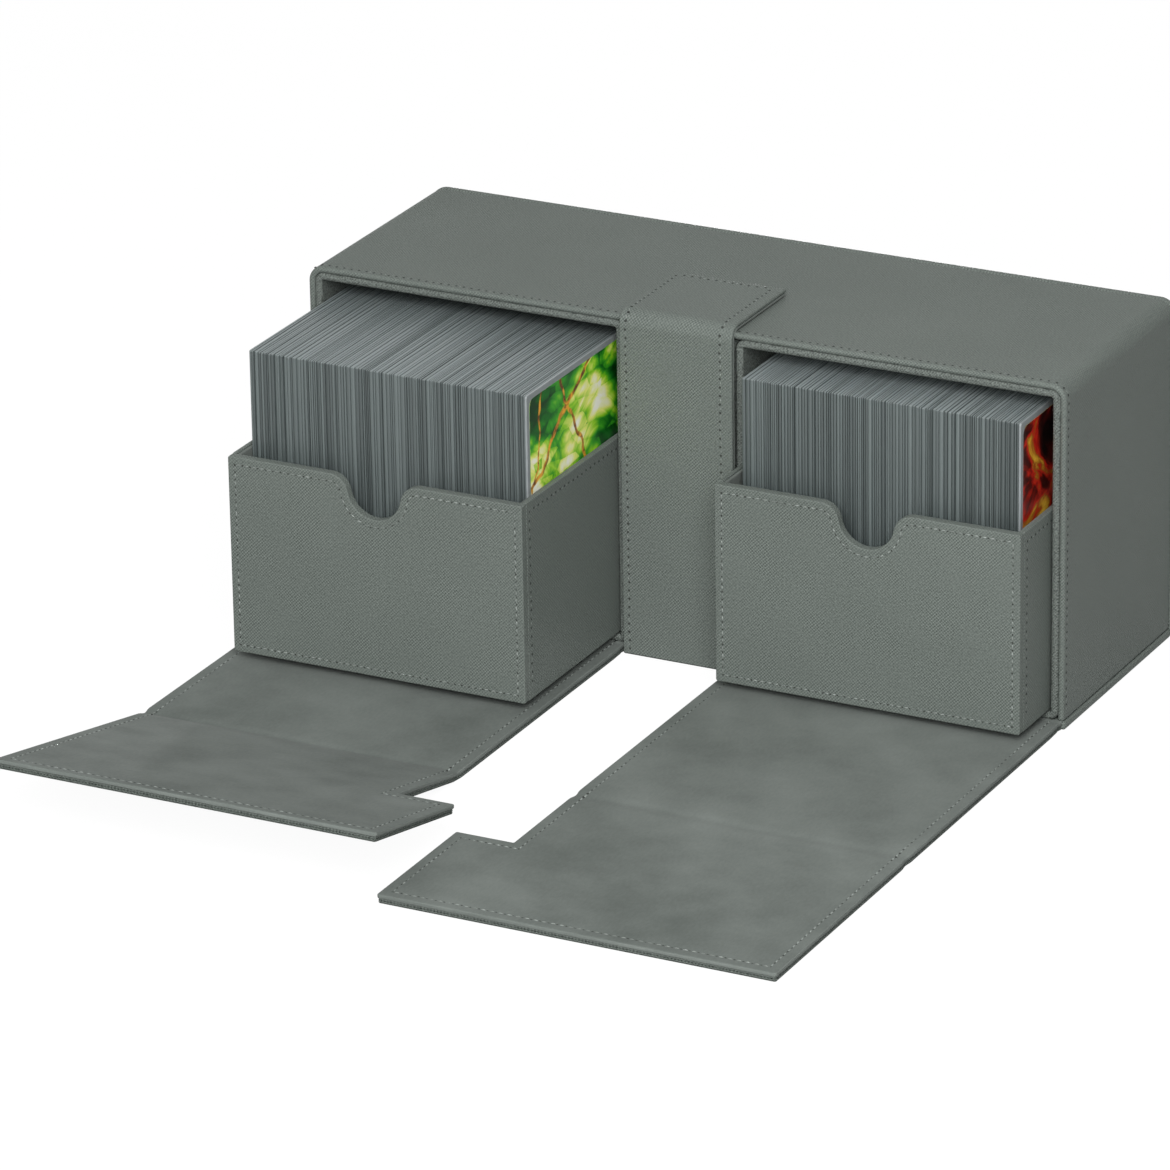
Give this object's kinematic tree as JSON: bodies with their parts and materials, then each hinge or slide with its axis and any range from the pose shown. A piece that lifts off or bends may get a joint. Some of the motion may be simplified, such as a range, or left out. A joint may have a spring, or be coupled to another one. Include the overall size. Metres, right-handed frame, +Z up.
{
  "type": "card storage box",
  "caption": "Leather-covered case with two sliding card trays, a narrow centre drawer and two folding flaps that open flat in front.",
  "frame": {"origin": "centre of the case's footprint, on the underside of the base board, at table level", "axes": "+X to the right as seen from the front, -Y towards the open front with the flaps, +Z up"},
  "size_m": [0.251, 0.2758, 0.1104],
  "materials": {
    "case_leather": "matte",
    "sleeve_leather": "matte",
    "lining_microfibre": "matte",
    "stiffening_board": "matte",
    "magnet_steel": "satin",
    "card_sleeves": "satin",
    "card_print": "satin"
  },
  "bodies": {
    "case": {"base_board": "case_leather", "back_board": "case_leather", "outer_shell": "case_leather", "case_top_magnets": "magnet_steel", "left_compartment_sleeve": "sleeve_leather", "right_compartment_sleeve": "sleeve_leather", "left_hinge_strip": "case_leather", "right_hinge_strip": "case_leather"},
    "left_tray": {"left_tray_body": "case_leather", "left_tray_lining": "lining_microfibre", "left_tray_front": "case_leather", "left_card_deck": "card_sleeves", "left_end_card": "card_print"},
    "right_tray": {"right_tray_body": "case_leather", "right_tray_lining": "lining_microfibre", "right_tray_front": "case_leather", "right_card_deck": "card_sleeves", "right_end_card": "card_print"},
    "left_flap_front": {"left_flap_front_skin": "case_leather", "left_flap_front_board": "stiffening_board", "left_flap_front_lining": "lining_microfibre", "left_flap_crease": "case_leather"},
    "left_flap_top": {"left_flap_top_skin": "case_leather", "left_flap_top_board": "stiffening_board", "left_flap_top_lining": "lining_microfibre", "left_flap_magnet": "magnet_steel"},
    "right_flap_front": {"right_flap_front_skin": "case_leather", "right_flap_front_board": "stiffening_board", "right_flap_front_lining": "lining_microfibre", "right_flap_crease": "case_leather"},
    "right_flap_top": {"right_flap_top_skin": "case_leather", "right_flap_top_board": "stiffening_board", "right_flap_top_lining": "lining_microfibre", "right_flap_magnet": "magnet_steel"},
    "drawer": {"drawer_box": "sleeve_leather", "drawer_lining": "lining_microfibre", "strap_front_board": "stiffening_board", "strap_front_skin": "case_leather", "strap_bend": "case_leather"},
    "strap_tab": {"strap_tab_skin": "case_leather", "strap_tab_lining": "lining_microfibre", "strap_tab_magnet": "magnet_steel"}
  },
  "joints": [
    {"name": "left_tray_slide", "type": "slide", "parent": "case", "child": "left_tray", "axis": [0, -1, 0], "range_m": [-0.0608, 0.0092]},
    {"name": "right_tray_slide", "type": "slide", "parent": "case", "child": "right_tray", "axis": [0, -1, 0], "range_m": [-0.0208, 0.0492]},
    {"name": "drawer_slide", "type": "slide", "parent": "case", "child": "drawer", "axis": [0, -1, 0], "range_m": [0, 0.065]},
    {"name": "strap_tab_hinge", "type": "hinge", "parent": "drawer", "child": "strap_tab", "pos_m": [0, -0.0381, 0.1104], "axis": [1, 0, 0], "range_deg": [0, 120]},
    {"name": "left_flap_hinge", "type": "hinge", "parent": "case", "child": "left_flap_front", "pos_m": [-0.07175, -0.04365, 0.00045], "axis": [-1, 0, 0], "range_deg": [-80, 1.8]},
    {"name": "right_flap_hinge", "type": "hinge", "parent": "case", "child": "right_flap_front", "pos_m": [0.07175, -0.04365, 0.00045], "axis": [-1, 0, 0], "range_deg": [-80, 1.8]},
    {"name": "left_crease_hinge", "type": "hinge", "parent": "left_flap_front", "child": "left_flap_top", "pos_m": [-0.07175, -0.1492, 0.00045], "axis": [-1, 0, 0], "range_deg": [-11.9, 78.1]},
    {"name": "right_crease_hinge", "type": "hinge", "parent": "right_flap_front", "child": "right_flap_top", "pos_m": [0.07175, -0.1492, 0.00045], "axis": [-1, 0, 0], "range_deg": [0, 90]}
  ]
}
